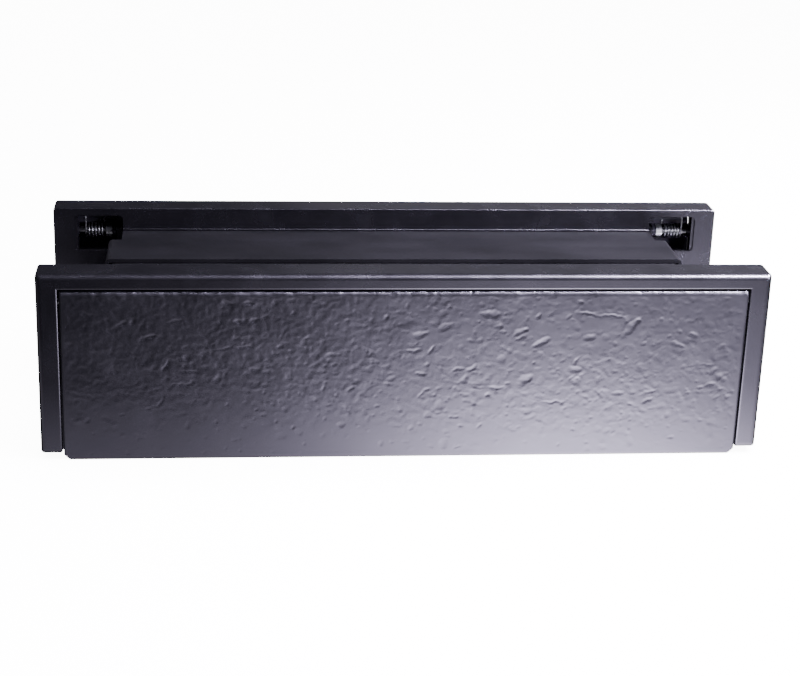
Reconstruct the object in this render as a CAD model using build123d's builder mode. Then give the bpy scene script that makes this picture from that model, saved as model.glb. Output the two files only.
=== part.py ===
"""Sleeved letter plate for a door: a sprung flap on each side of the door and a telescopic sleeve between.

Frame: +Z is up, X runs along the plate and Y through the door. The outside of the door faces -Y.
The origin is on the door's outer surface, half way along the plate and half way up it.
All sizes are in millimetres.
"""

import os

from build123d import *

# ---------------------------------------------------------------- driving dimensions
plate_length = 310.0
plate_height = 80.0
plate_depth = 15.0  # casting only, without the gasket
gasket_thickness = 1.5
gasket_inset = 2.0
gasket_width = 7.0
door_thickness = 80.0  # the gap the two halves stand apart as stored, drawn right out
corner_radius = 1.5
face_rounding = 2.4
lip_rounding = 0.8  # inner edges of the U
door_edge = 0.5  # rounding on the door side
web_thickness = 2.5  # door-side wall of each casting
overlap = 0.1  # joined shapes reach this far into each other

top_bar = 6.5
side_bar = 9.0
flap_gap = 0.7
bay_play = 0.2  # between the flap's ends and the bay behind it
flap_recess = 0.6  # flap face behind the frame face
flap_thickness = 2.5
flap_overhang = 2.8  # the flap's finger edge hangs this far below the frame
flap_corner = 2.4
flap_top_rounding = 2.2
flap_bottom_rounding = 1.2
finger_lip_height = 2.2
finger_lip_reach = 3.7
finger_lip_end = 3.0  # from the flap's end
side_lip_thickness = 1.2
side_lip_reach = 2.1
stiffener_inset = 3.0  # inside the slot
stiffener_thickness = 1.5
stiffener_height = 3.0

hinge_drop = 13.0  # hinge axis below the top of the plate
hinge_setback = 5.8  # hinge axis behind the frame face
swing_radius = 8.0  # room the flap's top edge turns in
pin_radius = 1.5
pin_end_play = 0.3
lug_radius = 3.0
lug_thickness = 1.6
cheek_radius = 2.5
cheek_thickness = 2.3
cheek_foot = 9.0  # below the hinge axis
collar_radius = 3.3
collar_length = 2.8
fixed_clearance = 0.02
running_clearance = 0.06

slot_length = 244.0
slot_height = 41.0
slot_middle = 4.5  # above the middle of the plate
wall = 2.0
wall_rounding = 1.0
seal_thickness = 1.8
seal_gap = 0.2  # to the wall that it lands on
rib_count = 10
rib_pitch = 28.0
rib_thickness = 1.5
rib_setback = 0.6  # behind the front of the wall round the slot

buffer_station = 112.0
buffer_drop = 28.0  # below the middle of the plate
buffer_radius = 3.0
buffer_post_radius = 4.0
buffer_post_rise = 0.3  # above the wall round the slot
buffer_rounding = 0.6

sleeve_wall = 1.6
sleeve_play = 0.4
sleeve_rounding = 2.0
inner_sleeve_length = 258.6
inner_sleeve_height = 50.0
sleeve_reach = 43.0  # each half's sleeve, from the door's surface
groove_depth = 1.2
groove_play = 0.15
sleeve_seat = 1.0  # depth of a sleeve's end in its groove
sleeve_notch = 14.4  # cut from a sleeve's top corners beside the springs
rim_width = 0.9  # raised rim round a sleeve's end
rim_rise = 1.0
rim_rounding = 0.4

window_length = 22.2
window_height = 17.0
window_end = 9.4  # from the end of the plate
window_top = 3.4  # from the top of the plate
window_step = 1.4  # ledge across the window's outer end, which screens the gap beside the flap
window_step_depth = 0.8  # from the door side to that ledge
pocket_depth = 10.0  # behind the part of a window that holds the spring
window_corner = 2.0

fixing_spacing = 278.0
boss_height = 8.2
outer_boss_radius = 5.5
outer_boss_cap = 1.3  # closes the outer boss over the end of the bolt hole
inner_boss_radius = 6.0
counterbore_radius = 5.0
counterbore_floor = 4.0
pillar_radius = 4.5
pillar_reach = 41.0
pillar_chamfer = 0.6
spigot_radius = 3.5
spigot_length = 4.4
spigot_play = 0.1
bolt_radius = 2.5
bolt_length = 53.0
bolt_chamfer = 0.5
bolt_play = 0.15
bolt_hole_radius = 2.75
thread_depth = 60.0
head_radius = 4.4
head_height = 3.0
head_rounding = 1.0
drive_depth = 1.6
drive_length = 4.6
drive_width = 1.1
washer_radius = 4.7
washer_thickness = 0.8

spring_wire = 0.45  # radius
spring_radius = 3.05  # to the middle of the wire
spring_turns = 5.5
spring_pitch = 1.5
coil_room = 4.0  # radius of the hollow that the coil turns in
flap_leg = 4.9
frame_leg = 10.9
leg_play = 0.15
leg_hole_depth = 1.8

# ---------------------------------------------------------------- derived sizes
plate_top = plate_height / 2
plate_end = plate_length / 2
bay_half = plate_end - side_bar
bay_top = plate_top - top_bar
bay_floor = -plate_top + wall + 0.5
flap_half = bay_half - flap_gap
bay_rear = flap_half + bay_play
flap_top = bay_top - flap_gap
flap_bottom = -plate_top - flap_overhang
flap_face = plate_depth - flap_recess
flap_rear = flap_face - flap_thickness
hinge_height = plate_top - hinge_drop
hinge_depth = plate_depth - hinge_setback
landing = flap_rear - seal_thickness - seal_gap  # front edge of the wall round the slot
slot_half = slot_length / 2
wall_outside = slot_half + wall
wall_length = slot_length + 2 * wall
wall_height = slot_height + 2 * wall
cheek_outside = wall_outside + cheek_thickness
bore_end = plate_end - 4.0
lug_start = cheek_outside + flap_gap
lug_end = lug_start + lug_thickness
end_lug_start = flap_half - side_lip_thickness
collar_start = lug_end + 0.2
collar_end = collar_start + collar_length
spring_start = collar_end + 2 * spring_wire
spring_end = spring_start + spring_turns * spring_pitch
leg_depth = hinge_depth + spring_radius  # middle of the flap's leg
window_start = plate_end - window_end - window_length
window_middle = window_start + window_length / 2
step_edge = plate_end - window_end - window_step
window_centre_height = plate_top - window_top - window_height / 2
window_ceiling = plate_top - window_top
window_sill = window_ceiling - window_height
outer_sleeve_length = inner_sleeve_length - 2 * (sleeve_wall + sleeve_play)
outer_sleeve_height = inner_sleeve_height - 2 * (sleeve_wall + sleeve_play)
head_seat = counterbore_floor + washer_thickness

# Each half is drawn on the plane of its door-side face: x along the plate, y up, z out of the door.
outer_seat = Plane(origin=(0, -gasket_thickness, 0), x_dir=(1, 0, 0), z_dir=(0, -1, 0))
inner_seat = Plane(origin=(0, door_thickness, 0), x_dir=(-1, 0, 0), z_dir=(0, 1, 0))


def section(seat, station):
    """The plane across the plate at a station along it: x out of the door, y up."""
    origin = seat.from_local_coords((station, 0, 0))
    return Plane(origin=origin, x_dir=seat.z_dir, z_dir=-seat.x_dir)


def block(seat, stations, depths, heights, mode=Mode.ADD):
    """A rectangular block between two stations, two depths and two heights of one half."""
    with BuildSketch(seat.offset(depths[0]), mode=Mode.PRIVATE) as outline:
        with Locations((sum(stations) / 2, sum(heights) / 2)):
            Rectangle(stations[1] - stations[0], heights[1] - heights[0])
    extrude(outline.sketch, amount=depths[1] - depths[0], mode=mode)


def ring(seat, depth, length, height, width, rounding, thickness, middle=slot_middle, mode=Mode.ADD):
    """A rectangular ring, its outside given, standing at a depth of one half."""
    with BuildSketch(seat.offset(depth), mode=Mode.PRIVATE) as outline:
        with Locations((0, middle)):
            RectangleRounded(length, height, rounding)
            Rectangle(length - 2 * width, height - 2 * width, mode=Mode.SUBTRACT)
    extrude(outline.sketch, amount=thickness, mode=mode)


def sleeve_rim(seat, length, height):
    """Rim that stands on the door-side face round a sleeve's end, its outer edge rounded."""
    with BuildSketch(seat.offset(-rim_rise), mode=Mode.PRIVATE) as outline:
        with Locations((0, slot_middle)):
            RectangleRounded(length + 2 * rim_width, height + 2 * rim_width, sleeve_rounding)
    solid = extrude(outline.sketch, amount=rim_rise + overlap, mode=Mode.PRIVATE)
    door_side = solid.faces().sort_by(Axis(seat.origin, seat.z_dir))[0]
    solid = solid.fillet(rim_rounding, door_side.edges())
    with BuildSketch(seat.offset(-rim_rise), mode=Mode.PRIVATE) as opening:
        with Locations((0, slot_middle)):
            Rectangle(length, height)
    add(solid - extrude(opening.sketch, amount=rim_rise, mode=Mode.PRIVATE))


def frame_casting(seat, sleeve_length, sleeve_height):
    """One half's frame: U-shaped face, open front bay for the flap, thin web against the door."""
    with BuildPart() as casting:
        with BuildSketch(seat):
            RectangleRounded(plate_length, plate_height, corner_radius)
        extrude(amount=plate_depth)
        out = Axis(seat.origin, seat.z_dir)
        fillet(casting.faces().sort_by(out)[-1].edges(), face_rounding)
        fillet(casting.faces().sort_by(out)[0].edges(), door_edge)

        # Opening for the flap, down to the foot of the plate, and a shorter bay behind it.
        block(seat, (-bay_half, bay_half), (landing, plate_depth), (-plate_top, bay_top),
              Mode.SUBTRACT)
        block(seat, (-bay_rear, bay_rear), (web_thickness, landing), (bay_floor, bay_top),
              Mode.SUBTRACT)
        lip = casting.faces().sort_by(out)[-1].edges()
        lip = lip.filter_by_position(Axis.X, -bay_half - overlap, bay_half + overlap)
        fillet(lip.filter_by_position(Axis.Z, -plate_top, bay_top + overlap), lip_rounding)
        # Hollow under the top bar, in which the flap's top edge turns.
        with BuildSketch(section(seat, 0)):
            with Locations((hinge_depth, hinge_height)):
                Circle(swing_radius)
            with Locations((web_thickness + swing_radius, hinge_height)):
                Rectangle(2 * swing_radius, 2 * swing_radius, mode=Mode.INTERSECT)
        extrude(amount=bay_rear, both=True, mode=Mode.SUBTRACT)

        # Rim round the sleeve's end on the door side.
        seat_length = sleeve_length + 2 * groove_play
        seat_height = sleeve_height + 2 * groove_play
        sleeve_rim(seat, seat_length, seat_height)
        # Wall round the letter slot, which the flap's seal lands on.
        ring(seat, 0, wall_length, wall_height, wall, wall_rounding, landing)
        # Ribs between that wall and the bottom of the plate.
        rib_depths = (web_thickness - overlap, landing - rib_setback)
        rib_heights = (bay_floor - overlap, slot_middle - wall_height / 2 + overlap)
        for number in range(rib_count):
            station = (number - (rib_count - 1) / 2) * rib_pitch
            block(seat, (station - rib_thickness / 2, station + rib_thickness / 2), rib_depths,
                  rib_heights)
        for side in (-1, 1):
            # Cheek that carries the inner end of a hinge pin.
            middle = side * (wall_outside + cheek_outside) / 2
            with BuildSketch(section(seat, middle)):
                with Locations((hinge_depth, hinge_height)):
                    Circle(cheek_radius)
                with Locations((web_thickness - overlap, hinge_height - cheek_foot)):
                    Rectangle(hinge_depth - web_thickness + overlap, cheek_foot + cheek_radius,
                              align=(Align.MIN, Align.MIN))
                    Rectangle(landing - web_thickness, cheek_foot, align=(Align.MIN, Align.MIN))
            extrude(amount=cheek_thickness / 2, both=True)
            # Window, stepped at its outer end: through the web, and beyond the cheek a deep pocket
            # for the spring.
            with BuildSketch(seat.offset(-rim_rise)):
                with Locations((side * window_middle, window_centre_height)):
                    RectangleRounded(window_length, window_height, window_corner)
            extrude(amount=rim_rise + window_step_depth, mode=Mode.SUBTRACT)
            for start, depth in ((window_start, web_thickness), (cheek_outside, pocket_depth)):
                with BuildSketch(seat):
                    with Locations((side * window_middle, window_centre_height)):
                        RectangleRounded(window_length, window_height, window_corner)
                    with Locations((side * (start + step_edge) / 2, window_centre_height)):
                        Rectangle(step_edge - start, window_height, mode=Mode.INTERSECT)
                extrude(amount=depth, mode=Mode.SUBTRACT)
            # Bore for the pin through the cheek and into the side bar.
            with BuildSketch(section(seat, side * (wall_outside + bore_end) / 2)):
                with Locations((hinge_depth, hinge_height)):
                    Circle(pin_radius + fixed_clearance)
            extrude(amount=(bore_end - wall_outside) / 2, both=True, mode=Mode.SUBTRACT)
            # Hole in the pocket's ceiling that holds the spring's fixed leg.
            hole_mouth = seat.from_local_coords(
                (side * spring_end, window_ceiling - overlap, hinge_depth - spring_radius))
            with BuildSketch(Plane(origin=hole_mouth, z_dir=(0, 0, 1))):
                Circle(spring_wire + leg_play)
            extrude(amount=leg_hole_depth + overlap, mode=Mode.SUBTRACT)
            # Post for a rubber buffer.
            with BuildSketch(seat.offset(web_thickness - overlap)):
                with Locations((side * buffer_station, -buffer_drop)):
                    Circle(buffer_post_radius)
            extrude(amount=landing + buffer_post_rise - web_thickness + overlap)

        # Groove that seats the sleeve, and the letter slot through the web.
        ring(seat, 0, seat_length, seat_height, sleeve_wall + 2 * groove_play, sleeve_rounding,
             groove_depth, mode=Mode.SUBTRACT)
        block(seat, (-slot_half, slot_half), (0, web_thickness),
              (slot_middle - slot_height / 2, slot_middle + slot_height / 2), Mode.SUBTRACT)
    return casting.part


def flap_casting(seat):
    """One half's flap: plate with returned edges, two hinge lugs at each end and a stiffening rib."""
    with BuildPart() as flap:
        with BuildSketch(seat.offset(flap_rear)):
            with BuildLine():
                Polyline(
                    (-flap_half, flap_top),
                    (flap_half, flap_top),
                    (flap_half, flap_bottom + flap_corner),
                    (flap_half - flap_corner, flap_bottom),
                    (-flap_half + flap_corner, flap_bottom),
                    (-flap_half, flap_bottom + flap_corner),
                    close=True,
                )
            make_face()
        extrude(amount=flap_thickness)
        out = Axis(seat.origin, seat.z_dir)
        front = flap.faces().sort_by(out)[-1].edges()
        fillet(front.sort_by(Axis.Z)[-1], flap_top_rounding)
        front = flap.faces().sort_by(out)[-1].edges().filter_by(Axis.X)
        fillet(front.sort_by(Axis.Z)[0], flap_bottom_rounding)

        lip_half = flap_half - finger_lip_end
        block(seat, (-lip_half, lip_half), (flap_rear - finger_lip_reach, flap_rear + overlap),
              (flap_bottom, flap_bottom + finger_lip_height))
        ring(seat, flap_rear - stiffener_height, slot_length - 2 * stiffener_inset,
             slot_height - 2 * stiffener_inset, stiffener_thickness, wall_rounding,
             stiffener_height + overlap)
        for side in (-1, 1):
            # The coil and its collar turn in a hollow of the flap's back.
            with BuildSketch(section(seat, side * (lug_end + end_lug_start) / 2)):
                with Locations((hinge_depth, hinge_height)):
                    Circle(coil_room)
            extrude(amount=(end_lug_start - lug_end) / 2, both=True, mode=Mode.SUBTRACT)
            # Slot for the spring's moving leg.
            leg = side * spring_start
            leg_room = spring_wire + 2 * leg_play
            block(seat, (leg - leg_room, leg + leg_room), (flap_rear - overlap, leg_depth + leg_room),
                  (hinge_height + pin_radius, hinge_height + flap_leg + leg_play), Mode.SUBTRACT)
            # Returned edge down the flap's end.
            ends = sorted((side * end_lug_start, side * flap_half))
            block(seat, ends, (flap_rear - side_lip_reach, flap_rear + overlap),
                  (bay_floor + flap_gap, hinge_height))
            # Hinge lugs, one each side of the coil.
            for start, end in ((lug_start, lug_end), (end_lug_start, flap_half)):
                with BuildSketch(section(seat, side * (start + end) / 2)):
                    with Locations((hinge_depth, hinge_height)):
                        Circle(lug_radius)
                    with Locations((hinge_depth, hinge_height - lug_radius)):
                        Rectangle(flap_rear + overlap - hinge_depth, 2 * lug_radius,
                                  align=(Align.MIN, Align.MIN))
                extrude(amount=(end - start) / 2, both=True)
            # Running bore for the pin through both lugs.
            with BuildSketch(section(seat, side * (lug_start + flap_half) / 2)):
                with Locations((hinge_depth, hinge_height)):
                    Circle(pin_radius + running_clearance)
            extrude(amount=(flap_half - lug_start) / 2, both=True, mode=Mode.SUBTRACT)
    return flap.part


def round_pair(seat, stations, radius, bore=0.0):
    """Two like turned pieces on the hinge axis, one at each end of the plate."""
    with BuildPart() as pair:
        for side in (-1, 1):
            with BuildSketch(section(seat, side * sum(stations) / 2)):
                with Locations((hinge_depth, hinge_height)):
                    Circle(radius)
                    if bore:
                        Circle(bore, mode=Mode.SUBTRACT)
            extrude(amount=(stations[1] - stations[0]) / 2, both=True)
    return pair.part


def torsion_spring(seat, side):
    """One coil spring: a short leg on the flap's back, a long leg up into the frame.

    The one at side -1 is the mirror image of the one at side 1."""
    start = seat.from_local_coords((spring_start, hinge_height, hinge_depth))
    coil_plane = Plane(origin=start, x_dir=seat.z_dir, z_dir=seat.x_dir)
    up = Vector(0, -1, 0)  # the object's +Z in that plane
    with BuildPart() as spring:
        with BuildLine() as wire:
            coil = Helix(spring_pitch, spring_turns * spring_pitch, spring_radius)
            Line(coil @ 0 + up * flap_leg, coil @ 0)
            Line(coil @ 1, coil @ 1 + up * frame_leg)
        path = wire.wires()[0]
        with BuildSketch(Plane(origin=path @ 0, z_dir=path % 0)):
            Circle(spring_wire)
        sweep(path=path)
    placed = spring.part.moved(coil_plane.location)
    return placed if side > 0 else placed.mirror(section(seat, 0))


def buffer_pair(seat):
    """Two rubber buttons that quieten the closing flap."""
    with BuildPart() as buffers:
        with BuildSketch(seat.offset(landing + buffer_post_rise)):
            with Locations((-buffer_station, -buffer_drop), (buffer_station, -buffer_drop)):
                Circle(buffer_radius)
        extrude(amount=seal_thickness - buffer_post_rise)
        out = Axis(seat.origin, seat.z_dir)
        fillet(buffers.faces().sort_by(out)[-2:].edges(), buffer_rounding)
    return buffers.part


def flap_seal(seat):
    """Soft strip on the flap's back that closes on the wall round the slot."""
    with BuildPart() as seal:
        ring(seat, flap_rear - seal_thickness, wall_length - seal_gap, wall_height - seal_gap, wall,
             wall_rounding, seal_thickness)
    return seal.part


def sleeve(seat, length, height):
    """Rectangular tube that lines the hole in the door from one side, notched beside the springs."""
    with BuildPart() as tube:
        with BuildSketch(seat.offset(sleeve_seat)):
            with Locations((0, slot_middle)):
                RectangleRounded(length, height, sleeve_rounding)
                Rectangle(length - 2 * sleeve_wall, height - 2 * sleeve_wall, mode=Mode.SUBTRACT)
        reach = sleeve_reach + (gasket_thickness if seat is outer_seat else 0)
        extrude(amount=-(reach + sleeve_seat))
        for side in (-1, 1):
            ends = sorted((side * window_start, side * plate_end))
            block(seat, ends, (-sleeve_notch, sleeve_seat), (window_sill, plate_top), Mode.SUBTRACT)
    return tube.part


def at_fixings(seat, radius, depth, amount, mode=Mode.ADD):
    """A round boss or hole at both fixing places, starting at a depth of one half."""
    with BuildSketch(seat.offset(depth), mode=Mode.PRIVATE) as outline:
        with Locations((-fixing_spacing / 2, 0), (fixing_spacing / 2, 0)):
            Circle(radius)
    extrude(outline.sketch, amount=amount, mode=mode)


with BuildPart() as outer_frame:
    add(frame_casting(outer_seat, outer_sleeve_length, outer_sleeve_height))
    at_fixings(outer_seat, outer_boss_radius, 0, boss_height + outer_boss_cap)
    at_fixings(outer_seat, spigot_radius + fixed_clearance, 0, spigot_length + spigot_play, Mode.SUBTRACT)
    at_fixings(outer_seat, bolt_hole_radius, 0, boss_height, Mode.SUBTRACT)

with BuildPart() as inner_frame:
    add(frame_casting(inner_seat, inner_sleeve_length, inner_sleeve_height))
    at_fixings(inner_seat, inner_boss_radius, 0, boss_height)
    at_fixings(inner_seat, counterbore_radius, counterbore_floor, boss_height, Mode.SUBTRACT)
    at_fixings(inner_seat, bolt_hole_radius, 0, boss_height, Mode.SUBTRACT)

with BuildPart() as fixing_pillars:
    at_fixings(outer_seat, pillar_radius, 0, -(pillar_reach + gasket_thickness))
    chamfer(fixing_pillars.faces().sort_by(Axis.Y)[-2:].edges(), pillar_chamfer)
    at_fixings(outer_seat, spigot_radius, 0, spigot_length)
    at_fixings(outer_seat, bolt_radius + bolt_play, boss_height, -thread_depth, Mode.SUBTRACT)

with BuildPart() as fixing_bolts:
    at_fixings(inner_seat, bolt_radius, head_seat, -bolt_length)
    chamfer(fixing_bolts.faces().sort_by(Axis.Y)[:2].edges(), bolt_chamfer)
    at_fixings(inner_seat, head_radius, head_seat, head_height)
    fillet(fixing_bolts.faces().sort_by(Axis.Y)[-2:].edges(), head_rounding)
    with BuildSketch(inner_seat.offset(head_seat + head_height - drive_depth)):
        with Locations((-fixing_spacing / 2, 0), (fixing_spacing / 2, 0)):
            Rectangle(drive_length, drive_width)
            Rectangle(drive_width, drive_length)
    extrude(amount=head_height, mode=Mode.SUBTRACT)

with BuildPart() as bolt_washers:
    at_fixings(inner_seat, washer_radius, counterbore_floor, washer_thickness)
    at_fixings(inner_seat, bolt_radius + bolt_play, counterbore_floor, washer_thickness, Mode.SUBTRACT)

with BuildPart() as outer_gasket:
    gasket_length = plate_length - 2 * gasket_inset
    ring(outer_seat, -gasket_thickness, gasket_length, plate_height - 2 * gasket_inset, gasket_width,
         corner_radius, gasket_thickness, middle=0)

pieces = {
    "outer_frame": outer_frame.part,
    "inner_frame": inner_frame.part,
    "fixing_pillars": fixing_pillars.part,
    "fixing_bolts": fixing_bolts.part,
    "bolt_washers": bolt_washers.part,
    "outer_gasket": outer_gasket.part,
    "outer_sleeve": sleeve(outer_seat, outer_sleeve_length, outer_sleeve_height),
    "inner_sleeve": sleeve(inner_seat, inner_sleeve_length, inner_sleeve_height),
}
for half, seat in (("outer", outer_seat), ("inner", inner_seat)):
    pieces[half + "_flap"] = flap_casting(seat)
    pieces[half + "_flap_seal"] = flap_seal(seat)
    pieces[half + "_buffers"] = buffer_pair(seat)
    pieces[half + "_hinge_pins"] = round_pair(
        seat, (wall_outside + pin_end_play, bore_end - pin_end_play), pin_radius)
    pieces[half + "_pin_collars"] = round_pair(
        seat, (collar_start, collar_end), collar_radius, pin_radius + fixed_clearance)
    for hand in (-1, 1):
        side = hand if seat is outer_seat else -hand
        name = half + ("_spring_right" if hand > 0 else "_spring_left")
        pieces[name] = torsion_spring(seat, side)

os.makedirs("parts", exist_ok=True)
for name, piece in pieces.items():
    piece.label = name
    export_step(piece, f"parts/{name}.step")
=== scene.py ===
"""Looks of the sleeved letter plate: satin black paint, hammered flap faces, plastic sleeve, sprung hinges."""
import math

import bpy
import numpy as np
from mathutils import Matrix, Vector


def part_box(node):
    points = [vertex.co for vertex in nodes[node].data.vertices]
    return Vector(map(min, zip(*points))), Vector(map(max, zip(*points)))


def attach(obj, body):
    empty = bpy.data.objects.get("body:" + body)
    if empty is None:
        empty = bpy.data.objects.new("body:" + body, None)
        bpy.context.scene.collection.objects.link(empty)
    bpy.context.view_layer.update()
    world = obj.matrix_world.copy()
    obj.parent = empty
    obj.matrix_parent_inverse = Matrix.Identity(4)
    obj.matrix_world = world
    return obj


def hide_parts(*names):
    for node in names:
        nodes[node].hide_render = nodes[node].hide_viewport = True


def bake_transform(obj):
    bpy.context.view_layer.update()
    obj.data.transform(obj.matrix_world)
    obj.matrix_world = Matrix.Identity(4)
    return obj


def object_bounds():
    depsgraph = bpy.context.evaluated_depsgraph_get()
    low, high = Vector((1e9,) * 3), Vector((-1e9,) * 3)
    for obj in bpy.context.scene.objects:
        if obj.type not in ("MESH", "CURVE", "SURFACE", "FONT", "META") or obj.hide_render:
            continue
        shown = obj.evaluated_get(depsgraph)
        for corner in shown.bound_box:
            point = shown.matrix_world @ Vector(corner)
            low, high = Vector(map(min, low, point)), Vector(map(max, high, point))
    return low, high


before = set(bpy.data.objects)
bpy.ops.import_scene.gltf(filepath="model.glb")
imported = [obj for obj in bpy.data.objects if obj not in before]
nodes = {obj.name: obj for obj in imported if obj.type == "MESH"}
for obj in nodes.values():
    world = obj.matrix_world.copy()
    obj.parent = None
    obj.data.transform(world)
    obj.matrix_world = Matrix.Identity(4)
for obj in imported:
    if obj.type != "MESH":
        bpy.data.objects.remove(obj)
cad_low, cad_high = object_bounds()
MM = 0.001


# ------------------------------------------------------------------ camera
def rotation(axis, degrees):
    return Matrix.Rotation(math.radians(degrees), 4, axis)


CAMERA_PLACE = Vector((-81.74, -735.32, 281.72)) * MM
YAW, PITCH, ROLL = -6.187, 20.451, -1.954  # degrees
SENSOR_WIDTH = 36.0  # mm
FOCAL_LENGTH = 2.2865  # as a share of the sensor's width

camera_data = bpy.data.cameras.new("camera")
camera_data.sensor_width = SENSOR_WIDTH
camera_data.lens = FOCAL_LENGTH * SENSOR_WIDTH
camera_data.clip_start, camera_data.clip_end = 0.02, 60.0
camera = bpy.data.objects.new("camera", camera_data)
bpy.context.scene.collection.objects.link(camera)
camera.matrix_world = (
    Matrix.Translation(CAMERA_PLACE)
    @ rotation("Z", YAW)
    @ rotation("X", -PITCH)
    @ rotation("Y", ROLL)
    @ rotation("X", 90.0)
)
bpy.context.scene.camera = camera


# ------------------------------------------------------------------ materials
class Shader:
    """A node material with a Principled shader, whose textures use the object's own coordinates in metres."""

    def __init__(self, name):
        self.material = bpy.data.materials.new(name)
        self.material.use_nodes = True
        self.tree = self.material.node_tree
        self.tree.nodes.clear()
        self.out = self.tree.nodes.new("ShaderNodeOutputMaterial")
        self.bsdf = self.tree.nodes.new("ShaderNodeBsdfPrincipled")
        self.tree.links.new(self.bsdf.outputs["BSDF"], self.out.inputs["Surface"])
        self.place = self.tree.nodes.new("ShaderNodeTexCoord").outputs["Object"]

    def set(self, **values):
        for key, value in values.items():
            self.bsdf.inputs[key.replace("_", " ")].default_value = value

    def link(self, source, target):
        self.tree.links.new(source, target)

    def noise(self, scale, detail=3.0, roughness=0.5, distortion=0.0, stretch=None):
        node = self.tree.nodes.new("ShaderNodeTexNoise")
        node.inputs["Scale"].default_value = scale
        node.inputs["Detail"].default_value = detail
        node.inputs["Roughness"].default_value = roughness
        node.inputs["Distortion"].default_value = distortion
        self.link(self.stretched(stretch), node.inputs["Vector"])
        return node.outputs["Fac"]

    def stretched(self, stretch):
        if stretch is None:
            return self.place
        mapping = self.tree.nodes.new("ShaderNodeMapping")
        mapping.inputs["Scale"].default_value = stretch
        self.link(self.place, mapping.inputs["Vector"])
        return mapping.outputs["Vector"]

    def cells(self, scale):
        node = self.tree.nodes.new("ShaderNodeTexVoronoi")
        node.inputs["Scale"].default_value = scale
        self.link(self.place, node.inputs["Vector"])
        return node.outputs["Distance"]

    def ramp(self, source, stops):
        """stops: (position, colour), one low and one high."""
        node = self.tree.nodes.new("ShaderNodeValToRGB")
        for element, (position, colour) in zip(node.color_ramp.elements, stops):
            element.position = position
            element.color = (*colour, 1.0)
        self.link(source, node.inputs["Fac"])
        return node.outputs["Color"]

    def span(self, source, low, high, to_low, to_high):
        node = self.tree.nodes.new("ShaderNodeMapRange")
        for key, value in zip(("From Min", "From Max", "To Min", "To Max"), (low, high, to_low, to_high)):
            node.inputs[key].default_value = value
        self.link(source, node.inputs["Value"])
        return node.outputs["Result"]

    def math(self, operation, first, second):
        node = self.tree.nodes.new("ShaderNodeMath")
        node.operation = operation
        for socket, value in zip(node.inputs, (first, second)):
            if isinstance(value, float):
                socket.default_value = value
            else:
                self.link(value, socket)
        return node.outputs["Value"]

    def bump(self, height, distance):
        """Adds a bump of the given depth in metres on top of those that are there already."""
        node = self.tree.nodes.new("ShaderNodeBump")
        node.inputs["Strength"].default_value = 1.0
        node.inputs["Distance"].default_value = distance
        self.link(height, node.inputs["Height"])
        normal = self.bsdf.inputs["Normal"]
        if normal.is_linked:
            self.link(normal.links[0].from_socket, node.inputs["Normal"])
        self.link(node.outputs["Normal"], normal)

    def drive(self, socket, source):
        self.link(source, self.bsdf.inputs[socket])

    def mottle(self, source, low, high):
        """Base colour: low and high are (position, colour)."""
        self.drive("Base Color", self.ramp(source, [low, high]))

    def roughen(self, source, low, high):
        """Roughness from low to high over the middle of a noise."""
        self.drive("Roughness", self.span(source, 0.3, 0.7, low, high))


VIOLET = (0.86, 0.81, 1.0, 1.0)  # the paint's cast in its sheen


def satin_paint(name, blackness, waviness, rough_low, rough_high):
    """Black powder coat with a faint violet cast over a die casting that waves a little (waviness in mm)."""
    s = Shader(name)
    s.set(IOR=1.42, Specular_Tint=VIOLET)
    dark, light = (tuple(blackness * c for c in tone) for tone in ((0.75, 0.70, 1.05), (1.25, 1.18, 1.65)))
    s.mottle(s.noise(45.0, 4.0, 0.6), (0.3, dark), (0.7, light))
    s.roughen(s.noise(70.0, 3.0, 0.55, 0.4), rough_low, rough_high)
    s.bump(s.noise(38.0, 2.0, 0.45), waviness * MM)
    s.bump(s.noise(1400.0, 2.0, 0.5), 0.002 * MM)
    # A few dust specks and pin holes in the paint.
    s.bump(s.span(s.cells(160.0), 0.0, 0.04, 1.0, 0.0), 0.003 * MM)
    return s.material


def moulded_plastic(name):
    """Smooth black plastic whose waves and sheen are drawn out along the plate."""
    s = Shader(name)
    s.set(IOR=1.48, Specular_IOR_Level=0.10, Specular_Tint=VIOLET)
    s.mottle(s.noise(60.0, 3.0), (0.3, (0.0022, 0.0021, 0.0028)), (0.7, (0.0036, 0.0034, 0.0046)))
    s.roughen(s.noise(55.0, 3.0, 0.5, 0.0, (0.35, 1.0, 1.0)), 0.36, 0.47)
    s.bump(s.noise(30.0, 2.0, 0.4, 0.0, (0.5, 1.0, 1.0)), 0.10 * MM)
    s.bump(s.noise(1900.0, 2.0, 0.5), 0.006 * MM)
    return s.material


def steel(name, colour, rough_low, rough_high, tarnish, stretch=None):
    """Bare or plated steel: tarnish is the colour's share left where it is dullest."""
    s = Shader(name)
    s.set(Metallic=1.0)
    dull = tuple(c * tarnish for c in colour)
    s.mottle(s.noise(260.0, 4.0, 0.6), (0.35, dull), (0.65, colour))
    s.roughen(s.noise(500.0, 3.0, 0.6, 0.2), rough_low, rough_high)
    s.bump(s.noise(900.0, 2.0, 0.5, 0.0, stretch), 0.01 * MM)
    return s.material


def rubber(name):
    s = Shader(name)
    s.mottle(s.noise(120.0, 3.0), (0.3, (0.012, 0.012, 0.013)), (0.7, (0.022, 0.022, 0.023)))
    s.roughen(s.noise(300.0, 3.0), 0.62, 0.8)
    s.bump(s.noise(1500.0, 2.0), 0.02 * MM)
    return s.material


def foam(name):
    """Closed-cell foam: fine pores over soft mottling."""
    s = Shader(name)
    s.mottle(s.cells(1500.0), (0.1, (0.012, 0.012, 0.013)), (0.6, (0.040, 0.040, 0.043)))
    s.roughen(s.noise(200.0, 3.0), 0.85, 0.97)
    s.bump(s.cells(1500.0), 0.12 * MM)
    s.bump(s.noise(90.0, 3.0), 0.15 * MM)
    return s.material


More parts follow.
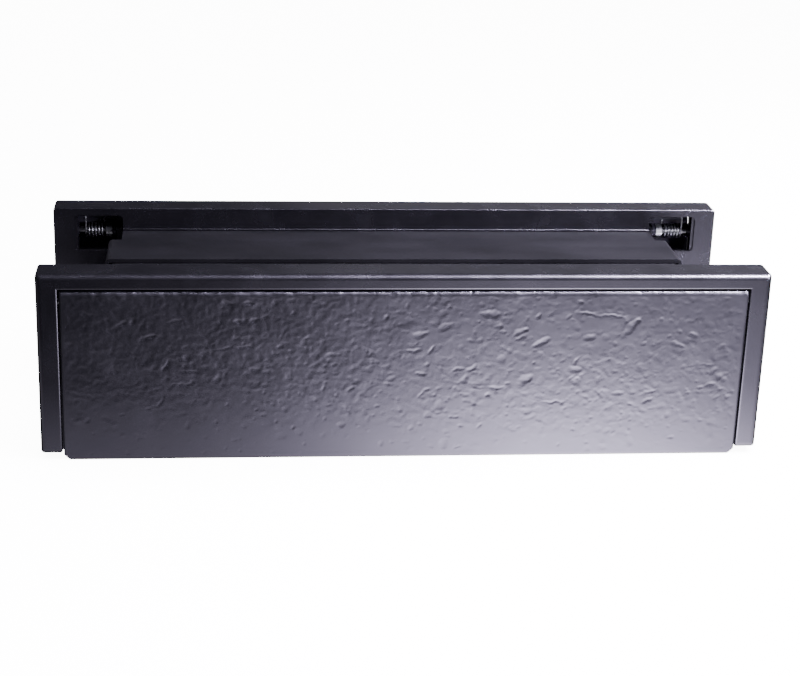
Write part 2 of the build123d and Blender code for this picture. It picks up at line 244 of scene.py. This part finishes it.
paint = satin_paint("satin_black_paint", 0.0020, 0.07, 0.23, 0.29)
# The flaps' backs: the same black paint made five times lighter, as painted light on the flaps where they lie in
# shade inside the spring pockets.
lightened_back_paint = satin_paint("black_paint_painted_lighter", 0.0100, 0.07, 0.36, 0.46)
hammered_paint = satin_paint("hammered_black_paint", 0.0018, 0.05, 0.29, 0.36)
plastic = moulded_plastic("sleeve_plastic")
zinc_plate = steel("zinc_plated_steel", (0.62, 0.63, 0.65), 0.22, 0.42, 0.7)
oiled_steel = steel("oiled_steel", (0.34, 0.34, 0.36), 0.26, 0.42, 0.6)
spring_wire = steel("spring_steel", (0.27, 0.27, 0.29), 0.24, 0.4, 0.5, (4.0, 1.0, 1.0))
black_rubber = rubber("black_rubber")
gasket_foam = foam("gasket_foam")

# The finish of each CAD node, by the last word of its name.
finish_of = {
    "frame": paint,
    # the flaps take the paint made lighter as painted light in the shaded pockets
    "flap": lightened_back_paint,
    "sleeve": plastic,
    "gasket": gasket_foam,
    "seal": black_rubber,
    "buffers": black_rubber,
    "pins": oiled_steel,
    "collars": zinc_plate,
    "bolts": zinc_plate,
    "washers": zinc_plate,
    "pillars": zinc_plate,
}
for name, node in nodes.items():
    finish = finish_of.get(name.split("_")[-1])
    if finish:
        node.data.materials.clear()
        node.data.materials.append(finish)


# ------------------------------------------------------------------ mesh helpers
def new_mesh(name, points, faces, material, slot=None, body=None):
    """A piece of the object, smooth shaded, or a flat stage piece when slot is None; slot is read for nothing else,
    and body, when given, is the empty it hangs from.
    """
    mesh = bpy.data.meshes.new(name)
    mesh.from_pydata([tuple(p) for p in points], [], faces)
    mesh.validate()
    mesh.polygons.foreach_set("use_smooth", [slot is not None] * len(mesh.polygons))
    mesh.materials.append(material)
    mesh.update()
    piece = bpy.data.objects.new(name, mesh)
    bpy.context.scene.collection.objects.link(piece)
    if body:
        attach(piece, body)
    return piece


# ------------------------------------------------------------------ hammered flap faces
def lattice_noise(x, z, size, seed):
    """Gradient noise over the flap's face, about -1 to 1, with features of the given size in mm."""
    period, origin, gain = 64, 1000.0, 1.5
    table = np.random.default_rng(seed).uniform(0, 2 * np.pi, (period, period))
    u, v = x / size + origin, z / size + origin
    i, j = np.floor(u).astype(int), np.floor(v).astype(int)
    fu, fv = u - i, v - j
    ease_u, ease_v = (t * t * t * (t * (6 * t - 15) + 10) for t in (fu, fv))
    value = 0.0
    for di in (0, 1):
        for dj in (0, 1):
            angle = table[(i + di) % period, (j + dj) % period]
            dot = np.cos(angle) * (fu - di) + np.sin(angle) * (fv - dj)
            weight = (ease_u if di else 1 - ease_u) * (ease_v if dj else 1 - ease_v)
            value = value + weight * dot
    return value * gain


def step(value, low, high):
    """0 below low, 1 above high and smooth between them."""
    t = np.clip((value - low) / (high - low), 0, 1)
    return t * t * (3 - 2 * t)


# The marks that stand out on the face: x, z, length, width (mm), angle (degrees), depth (share of the relief).
MARKS = (
    (-78, 7.5, 9, 1.0, 3, 0.8), (-69, 8, 9, 1.0, 3, 0.8), (-92, -2.5, 7, 1.0, 4, 0.8),
    (-95, -9, 9, 1.1, 0, 0.8), (-102, 0, 5.5, 1.0, 60, 0.7), (-105, -16, 5.5, 1.2, 62, 0.7),
    (-81, -6, 4, 2.6, 50, 1.0), (-64, -2, 5, 3.4, 30, 0.7), (-111, 12.5, 4, 2.2, 15, 0.9),
    (-108, 13.5, 3.4, 2.0, 20, 0.9), (-120, 19, 4, 2.4, 30, 0.9), (-115, 20, 3.6, 2.0, 60, 0.9),
    (-98, 19.5, 7, 1.6, 15, 0.8), (-76, 28, 5, 2.2, -15, 1.0), (-68, 27.5, 5, 2.0, 10, 1.0),
    (-71, 20, 5, 2.6, 0, 1.0), (-65, 20, 4, 2.4, 20, 1.0), (-73, 12, 4, 1.4, 20, 0.7),
    (2, 6.5, 6, 1.2, 2, 0.9), (9.5, 7, 5, 1.1, 62, 0.8), (4.5, 14, 6, 3.0, 5, 1.0),
    (15, 17, 5.5, 3.0, 20, 0.7), (34.5, 23, 8, 2.4, 0, 1.0), (57, 10, 7, 2.6, 25, 1.1),
    (48, 15, 5, 2.8, 10, 0.9), (55, 21.5, 3, 1.8, 40, 0.9), (76, 22.3, 9, 1.0, -8, 0.8),
    (84, 21.5, 8, 0.9, 2, 0.7), (95, 16.5, 10, 2.8, 52, 1.1), (89, 21, 8, 1.2, -12, 0.8),
    (72.5, 1.5, 5.5, 1.2, 65, 0.9), (72, -2.6, 5, 2.2, 0, 0.9), (78, 12, 5.5, 3.0, 15, 0.9),
    (27.5, -1.3, 4, 2.4, 45, 0.9), (22, -2, 5, 1.1, 4, 0.7), (30, -10.5, 7, 1.0, 2, 0.8),
    (38.5, -10.5, 6, 1.4, 4, 1.0), (64, -17.5, 10, 1.1, 2, 0.8), (6, -4, 4.5, 1.8, 0, 0.8),
    (6, -14, 4.5, 1.0, 70, 0.7), (51, -6.4, 5, 2.6, 15, 0.9), (92, -14, 5, 1.8, 5, 0.8),
    (23, -38, 4, 1.0, 0, 0.6), (32, -28, 2, 1.4, 60, 0.7), (24, -28, 2, 1.4, 20, 0.6),
    (91.5, -33, 1.2, 1.2, 0, -0.9), (98.5, -31, 1.4, 1.4, 0, -0.9), (133, -4, 4, 2.4, 30, 1.0),
    (136, -7, 3.6, 2.2, 70, 1.0), (132, -10, 4, 2.0, 10, 0.9), (128, -11, 3, 1.8, 20, 0.8),
    (135, 7.5, 4, 2.0, 30, 0.8), (122.5, 13, 4.4, 2.2, 0, 0.9), (116.5, 8.5, 5, 1.8, -25, 0.8),
    (105, -17.5, 5, 1.3, 25, 0.8), (106, -13, 6, 1.2, 12, 0.7), (116, -35, 3, 1.2, 10, 0.6),
    (128, -1, 14, 0.9, -2, 0.4),
)


THINNEST, THICKEST = 0.04, 0.55  # the cast skin over the flap, in mm
GROUND = 0.72  # height of the untouched face, from 0 at the thinnest skin to 1 at the thickest
DENT = 0.5  # depth of a full mark, in the same measure
BURR = 0.2  # height of the burr round a mark, as a share of the mark's depth
SMALL_MARKS = 2600  # places tried: most of those outside the crowd stay empty
STRAY = 0.08  # share of the places outside the crowd that get a mark


def random_marks(random, half, bottom, top, crowd):
    """Small dents and lumps, close together where the face is crowded."""
    marks = []
    for _ in range(SMALL_MARKS):
        place = random.uniform(-half, half), random.uniform(bottom, top)
        length = random.lognormal(0.62, 0.38)
        width = max(0.9, length * random.uniform(0.45, 1.0))
        tilt = random.normal(10, 25) if random.random() < 0.6 else random.uniform(-80, 80)
        depth = random.choice([1.0, 1.0, -0.7]) * random.uniform(0.10, 0.34) * random.choice([1, 1, 1.8])
        if random.random() < STRAY + (1 - STRAY) * crowd(*place):
            marks.append((*place, length, width, tilt, depth))
    return marks


def press(height, x, z, warped, mark):
    """Presses one mark into the face: deeper towards its lower side, with a low burr round it."""
    at_x, at_z, length, width, tilt, deep = mark
    rows = np.nonzero(np.abs(z[:, 0] - at_z) < length + 1)[0]
    columns = np.nonzero(np.abs(x[0] - at_x) < length + 1)[0]
    if not len(rows) or not len(columns):
        return
    window = (slice(rows[0], rows[-1] + 1), slice(columns[0], columns[-1] + 1))
    c, s = math.cos(math.radians(tilt)), math.sin(math.radians(tilt))
    dx, dz = warped[0][window] - at_x, warped[1][window] - at_z
    along, across = (dx * c + dz * s) * 2 / length, (dz * c - dx * s) * 2 / width
    radius = along**2 + across**2
    height[window] -= DENT * deep * np.exp(-(radius**1.5)) * (1 - 0.3 * np.clip(across, -1, 1))
    height[window] += BURR * DENT * abs(deep) * np.exp(-((np.sqrt(radius) - 1.3) ** 2) / 0.07)


def relief(x, z, top, bottom, half, seed, mirrored):
    """Height of the hammered face from 0 to 1 at x, z in mm: a waved casting with dents, strokes and a few lumps."""

    def noise(size, k, stretch=1.0, at=(x, z)):
        return lattice_noise(at[0] / stretch, at[1], size, seed + k)

    def crowding(at_x, at_z):
        """How closely the small marks stand: most over the upper part, least at the lower left."""
        mottle = lattice_noise(np.asarray(at_x), np.asarray(at_z), 22.0, seed + 12)
        across = -at_x if mirrored else at_x
        level = bottom + 20 - 12 * step(across, -half, half)
        return step(mottle, -1.4, 0.1) * (0.10 + 0.90 * step(at_z, level - 10, level + 14))

    crowd = crowding(x, z)
    # Marks and lumps follow a warped grid, so that none is a plain oval.
    warped = (x + 1.1 * noise(6.0, 1) + 0.35 * noise(2.2, 2), z + 1.1 * noise(6.0, 3) + 0.35 * noise(2.2, 4))
    slanted = (warped[0] + 0.5 * warped[1], warped[1] - 0.25 * warped[0])
    height = GROUND + 0.05 * noise(26.0, 5) + 0.045 * noise(11.0, 6)
    # Close pebbling, strongest at the upper left.
    pebbled = step(x if mirrored else -x, -60, 100) * step(z, -28, 6)
    height += (0.01 + 0.02 * crowd + 0.20 * pebbled) * noise(2.6, 11, 1.2, slanted) + 0.10 * pebbled * noise(1.6, 13)
    # Shallow pits and flat lumps.
    height -= crowd * 0.10 * step(noise(3.6, 7, 1.2, slanted), 0.2, 0.38)
    height += crowd * 0.07 * step(noise(3.2, 8, 1.2, slanted), 0.2, 0.38)

    random = np.random.default_rng(seed + 50)
    marks = [(-a if mirrored else a, b, c, d, -e if mirrored else e, f) for a, b, c, d, e, f in MARKS]
    for mark in marks + random_marks(random, half, bottom, top, crowding):
        press(height, x, z, warped, mark)
    margin = step(np.minimum(half - np.abs(x), z - bottom), 1.0, 3.2)
    return np.clip(height, 0, 1) * margin + GROUND * (1 - margin)


def hammered_face(name, body, node, outward, seed):
    """A cast skin over the flap's front, wrapped round its top and bottom edges.

    outward is -1 for the outer flap, which faces -Y, and 1 for the inner flap. Lengths are in mm."""
    low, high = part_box(node)
    face = (low.y if outward < 0 else high.y) / MM
    half, bottom, top = high.x / MM, low.z / MM, high.z / MM
    top_round, bottom_round, corner, side_round = 2.2, 1.2, 2.4, 0.5
    buried, inset, rim_depth = 0.12, 0.15, 0.02  # the skin's back and rim, inside the flap's own surface
    pitch = 0.5

    # The profile from the top edge round the face to the bottom edge: (depth behind the face, z, normal).
    profile = []
    for angle in np.radians(np.linspace(90, 0, 8)[:-1]):
        c, s = math.cos(angle), math.sin(angle)
        profile.append((top_round * (1 - c), top - top_round + top_round * s, c, s))
    upper_end, lower_end = top - top_round, bottom + bottom_round
    for z in np.linspace(upper_end, lower_end, int((top - bottom - top_round - bottom_round) / pitch) + 1):
        profile.append((0.0, z, 1.0, 0.0))
    for angle in np.radians(np.linspace(0, -90, 7)[1:]):
        c, s = math.cos(angle), math.sin(angle)
        profile.append((bottom_round * (1 - c), bottom + bottom_round + bottom_round * s, c, s))
    depth, height, out, up = (np.array(v) for v in zip(*profile))

    across = np.linspace(-1, 1, int(2 * half / pitch) + 1)
    limit = half - np.clip(bottom + corner - height, 0, corner)
    x = across[None, :] * limit[:, None]
    z = np.repeat(height[:, None], len(across), 1)
    rise = THINNEST + (THICKEST - THINNEST) * relief(x, z, top, bottom, half, seed, outward > 0)
    # The skin thins to nothing at its rim, which sits just under the flap's own surface.
    rim = np.minimum(step(limit[:, None] - np.abs(x), -0.01, side_round), step(out, 0.02, 0.5)[:, None])
    rise = rise * rim - rim_depth * (1 - rim)
    y = face - outward * (depth[:, None] - rise * out[:, None])
    front = np.stack([x, y, np.maximum(z + rise * up[:, None], bottom)], -1)

    # The back is buried in the flap: one plain strip for each row.
    rows, columns = len(height), len(across)
    last_row, last = rows - 1, columns - 1
    border = [(r, 0) for r in range(last_row)] + [(last_row, c) for c in range(last)]
    border += [(r, last) for r in range(last_row, 0, -1)] + [(0, c) for c in range(last, 0, -1)]
    back = [(x[r, c] * (1 - inset / half), face - outward * (buried + depth[r]), height[r] - inset * up[r])
            for r, c in border]
    at = np.arange(rows * columns).reshape(rows, columns)
    behind = {place: rows * columns + k for k, place in enumerate(border)}
    faces = np.stack([at[:-1, :-1], at[:-1, 1:], at[1:, 1:], at[1:, :-1]], -1).reshape(-1, 4).tolist()
    for first, second in zip(border, border[1:] + border[:1]):
        faces.append((at[first], at[second], behind[second], behind[first]))
    for r in range(last_row):
        upper = range(columns) if r == 0 else (0, last)
        lower = range(columns) if r == last_row - 1 else (0, last)
        faces.append([behind[r + 1, c] for c in lower] + [behind[r, c] for c in reversed(upper)])
    if outward < 0:
        faces = [tuple(reversed(f)) for f in faces]
    points = np.concatenate([front.reshape(-1, 3), np.array(back)]) * MM
    new_mesh(name, points, faces, hammered_paint, "black_casting", body)


hammered_face("outer_flap_face", "outer_flap", "outer_flap", -1, 41)
hammered_face("inner_flap_face", "inner_flap", "inner_flap", 1, 87)


# ------------------------------------------------------------------ springs
# All lengths in mm: the wire's radius, the coil's mean radius, its turns and the step from turn to turn.
WIRE, COIL, TURNS, TURN_STEP = 0.45, 3.05, 5.5, 1.5
LEG_FLAP, LEG_FRAME = 4.9, 10.9  # the two upright legs
TURN_POINTS, FLAP_LEG_POINTS, FRAME_LEG_POINTS, WIRE_SIDES = 26, 7, 12, 12


def spring_path(side, outward, axis_y, axis_z, first):
    """The wire's middle line: down the flap's leg, round the coil towards the plate's end, up the frame's leg."""
    start = Vector((side * first, axis_y + outward * COIL, axis_z))
    path = [start + Vector((0, 0, LEG_FLAP * (1 - k / FLAP_LEG_POINTS))) for k in range(FLAP_LEG_POINTS)]
    for k in range(int(TURNS * TURN_POINTS) + 1):
        turn = 2 * math.pi * k / TURN_POINTS
        path.append(Vector((
            side * (first + TURN_STEP * k / TURN_POINTS),
            axis_y + outward * COIL * math.cos(turn),
            axis_z - COIL * math.sin(turn),
        )))
    end = path[-1]
    path += [end + Vector((0, 0, LEG_FRAME * k / FRAME_LEG_POINTS)) for k in range(1, FRAME_LEG_POINTS + 1)]
    return path


def spring(node, side, outward, axis_y, axis_z, first):
    """A torsion spring round the hinge pin, as a fixed mesh: side is 1 towards +X, outward is the way the flap faces.
    """
    path = spring_path(side, outward, axis_y, axis_z, first)
    last = len(path) - 1
    points, faces = [], []
    normal = Vector((1, 0, 0))
    for k, p in enumerate(path):
        tangent = (path[min(k + 1, last)] - path[max(k - 1, 0)]).normalized()
        normal = (normal - tangent * normal.dot(tangent)).normalized()
        other = tangent.cross(normal)
        for a in range(WIRE_SIDES):
            angle = 2 * math.pi * a / WIRE_SIDES
            points.append((p + (normal * math.cos(angle) + other * math.sin(angle)) * WIRE) * MM)
    for k in range(last):
        here, there = k * WIRE_SIDES, (k + 1) * WIRE_SIDES
        for a in range(WIRE_SIDES):
            b = (a + 1) % WIRE_SIDES
            faces.append((here + a, here + b, there + b, there + a))
    faces.append(tuple(reversed(range(WIRE_SIDES))))
    faces.append(tuple(last * WIRE_SIDES + a for a in range(WIRE_SIDES)))
    piece = new_mesh(node + "_wire", points, faces, spring_wire, "spring_steel")
    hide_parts(node)
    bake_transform(piece)


for half_name, outward in (("outer", -1), ("inner", 1)):
    pin_low, pin_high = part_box(f"{half_name}_hinge_pins")
    axis = (pin_low + pin_high) / 2 / MM
    for hand in ("left", "right"):
        node = f"{half_name}_spring_{hand}"
        low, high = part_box(node)
        side = 1 if (low.x + high.x) > 0 else -1
        first = min(abs(low.x), abs(high.x)) / MM + WIRE
        spring(node, side, outward, axis.y, axis.z, first)


# ------------------------------------------------------------------ floor and light
def stage_material(name, colour):
    """A pale floor that glows, so that it stays white round a black object."""
    s = Shader(name)
    s.mottle(s.noise(6.0, 2.0), (0.3, tuple(0.985 * c for c in colour)), (0.7, colour))
    s.set(Roughness=0.9, Emission_Color=(1.0, 1.0, 1.0, 1.0), Emission_Strength=10.0)
    s.material.cycles.emission_sampling = "NONE"  # it is only seen, and lights nothing
    return s.material


FLOOR = 30  # half the floor's side, in metres
floor_z = cad_low.z
corners = [(-FLOOR, -FLOOR, floor_z), (FLOOR, -FLOOR, floor_z), (FLOOR, FLOOR, floor_z), (-FLOOR, FLOOR, floor_z)]
floor = new_mesh("floor", corners, [(0, 1, 2, 3)], stage_material("pale_floor", (0.86, 0.86, 0.87)))
floor.visible_glossy = False
floor.visible_shadow = False
floor.visible_diffuse = False


SHEEN_COLOUR = (0.94, 0.91, 1.0)
COOL_WHITE, WHITE = (0.90, 0.87, 1.0), (1.0, 1.0, 1.0)


def area_light(name, place, target, size, power, colour=COOL_WHITE):
    """A lamp at place that faces target. Lengths in metres, power in watts."""
    data = bpy.data.lights.new(name, "AREA")
    data.shape = "RECTANGLE"
    data.size, data.size_y = size
    data.energy = power
    data.color = colour
    lamp = bpy.data.objects.new(name, data)
    bpy.context.scene.collection.objects.link(lamp)
    lamp.location = place
    lamp.rotation_mode = "QUATERNION"
    lamp.rotation_quaternion = (Vector(target) - Vector(place)).to_track_quat("-Z", "Y")
    lamp.visible_camera = False
    return lamp


def light_table(name, centre, size, spots):
    """A light table below the floor that only shows in the object's sheen.

    spots: (x, y from its centre, spread along x, spread along y, radiance), each fading out from its middle."""
    s = Shader(name)
    s.tree.nodes.remove(s.bsdf)
    total = 0.0
    for x, y, spread_x, spread_y, radiance in spots:
        offset = s.tree.nodes.new("ShaderNodeMapping")
        offset.inputs["Location"].default_value = (-x / spread_x, -y / spread_y, 0.0)
        offset.inputs["Scale"].default_value = (1 / spread_x, 1 / spread_y, 1.0)
        s.link(s.place, offset.inputs["Vector"])
        square = s.tree.nodes.new("ShaderNodeVectorMath")
        square.operation = "DOT_PRODUCT"
        s.link(offset.outputs["Vector"], square.inputs[0])
        s.link(offset.outputs["Vector"], square.inputs[1])
        fall = s.math("POWER", math.e, s.math("MULTIPLY", square.outputs["Value"], -1.0))
        total = s.math("ADD", s.math("MULTIPLY", fall, radiance), total)
    lit = s.tree.nodes.new("ShaderNodeEmission")
    lit.inputs["Color"].default_value = (*SHEEN_COLOUR, 1.0)
    s.link(total, lit.inputs["Strength"])
    s.link(lit.outputs["Emission"], s.out.inputs["Surface"])
    w, d = size  # half its width and depth
    panel = new_mesh(name, [(-w, -d, 0), (w, -d, 0), (w, d, 0), (-w, d, 0)], [(0, 1, 2, 3)], s.material)
    panel.location = centre


# The key shows only in the sheen, as a highlight that rises towards the right end.
key = area_light("key", (0.70, -0.20, 0.90), (0.22, 0.0, 0.03), (1.20, 0.25), 190.0)
key.visible_diffuse = False
key.data.spread = math.radians(36.0)
area_light("back_wall", (0.8, 2.2, 0.9), (0.1, 0.0, 0.0), (1.6, 1.2), 1.7)
area_light("right_fill", (0.60, -0.45, 0.22), (0.1, 0.0, 0.0), (0.25, 0.25), 16.0)
wash = area_light("floor_wash", (0.0, -0.2, 2.5), (0.0, 0.0, 0.0), (3.0, 3.0), 470.0, WHITE)
wash.visible_glossy = False

# One light table before each face. Its spots: along the plate, away from the face, two spreads and radiance.
TABLE_HALF = (0.9, 0.40)
TABLE_DROP = 0.018  # below the floor
SPOTS = (
    (0.086, 0.040, 0.090, 0.080, 37.0),
    (-0.020, 0.045, 0.330, 0.060, 2.6),
    (0.150, 0.230, 0.150, 0.120, 6.0),
)
for side, name, strength, face_y in ((-1, "front", 1.0, cad_low.y), (1, "back", 0.75, cad_high.y)):
    middle = (0.0, face_y + side * TABLE_HALF[1], floor_z - TABLE_DROP)
    light_table(name + "_light_table", middle, TABLE_HALF, [
        (-along * side, side * (away - TABLE_HALF[1]), spread_x, spread_y, radiance * strength)
        for along, away, spread_x, spread_y, radiance in SPOTS
    ])

world = bpy.data.worlds.new("studio")
bpy.context.scene.world = world
world.use_nodes = True
background = world.node_tree.nodes["Background"]
background.inputs["Color"].default_value = (0.84, 0.81, 1.0, 1.0)
background.inputs["Strength"].default_value = 0.05
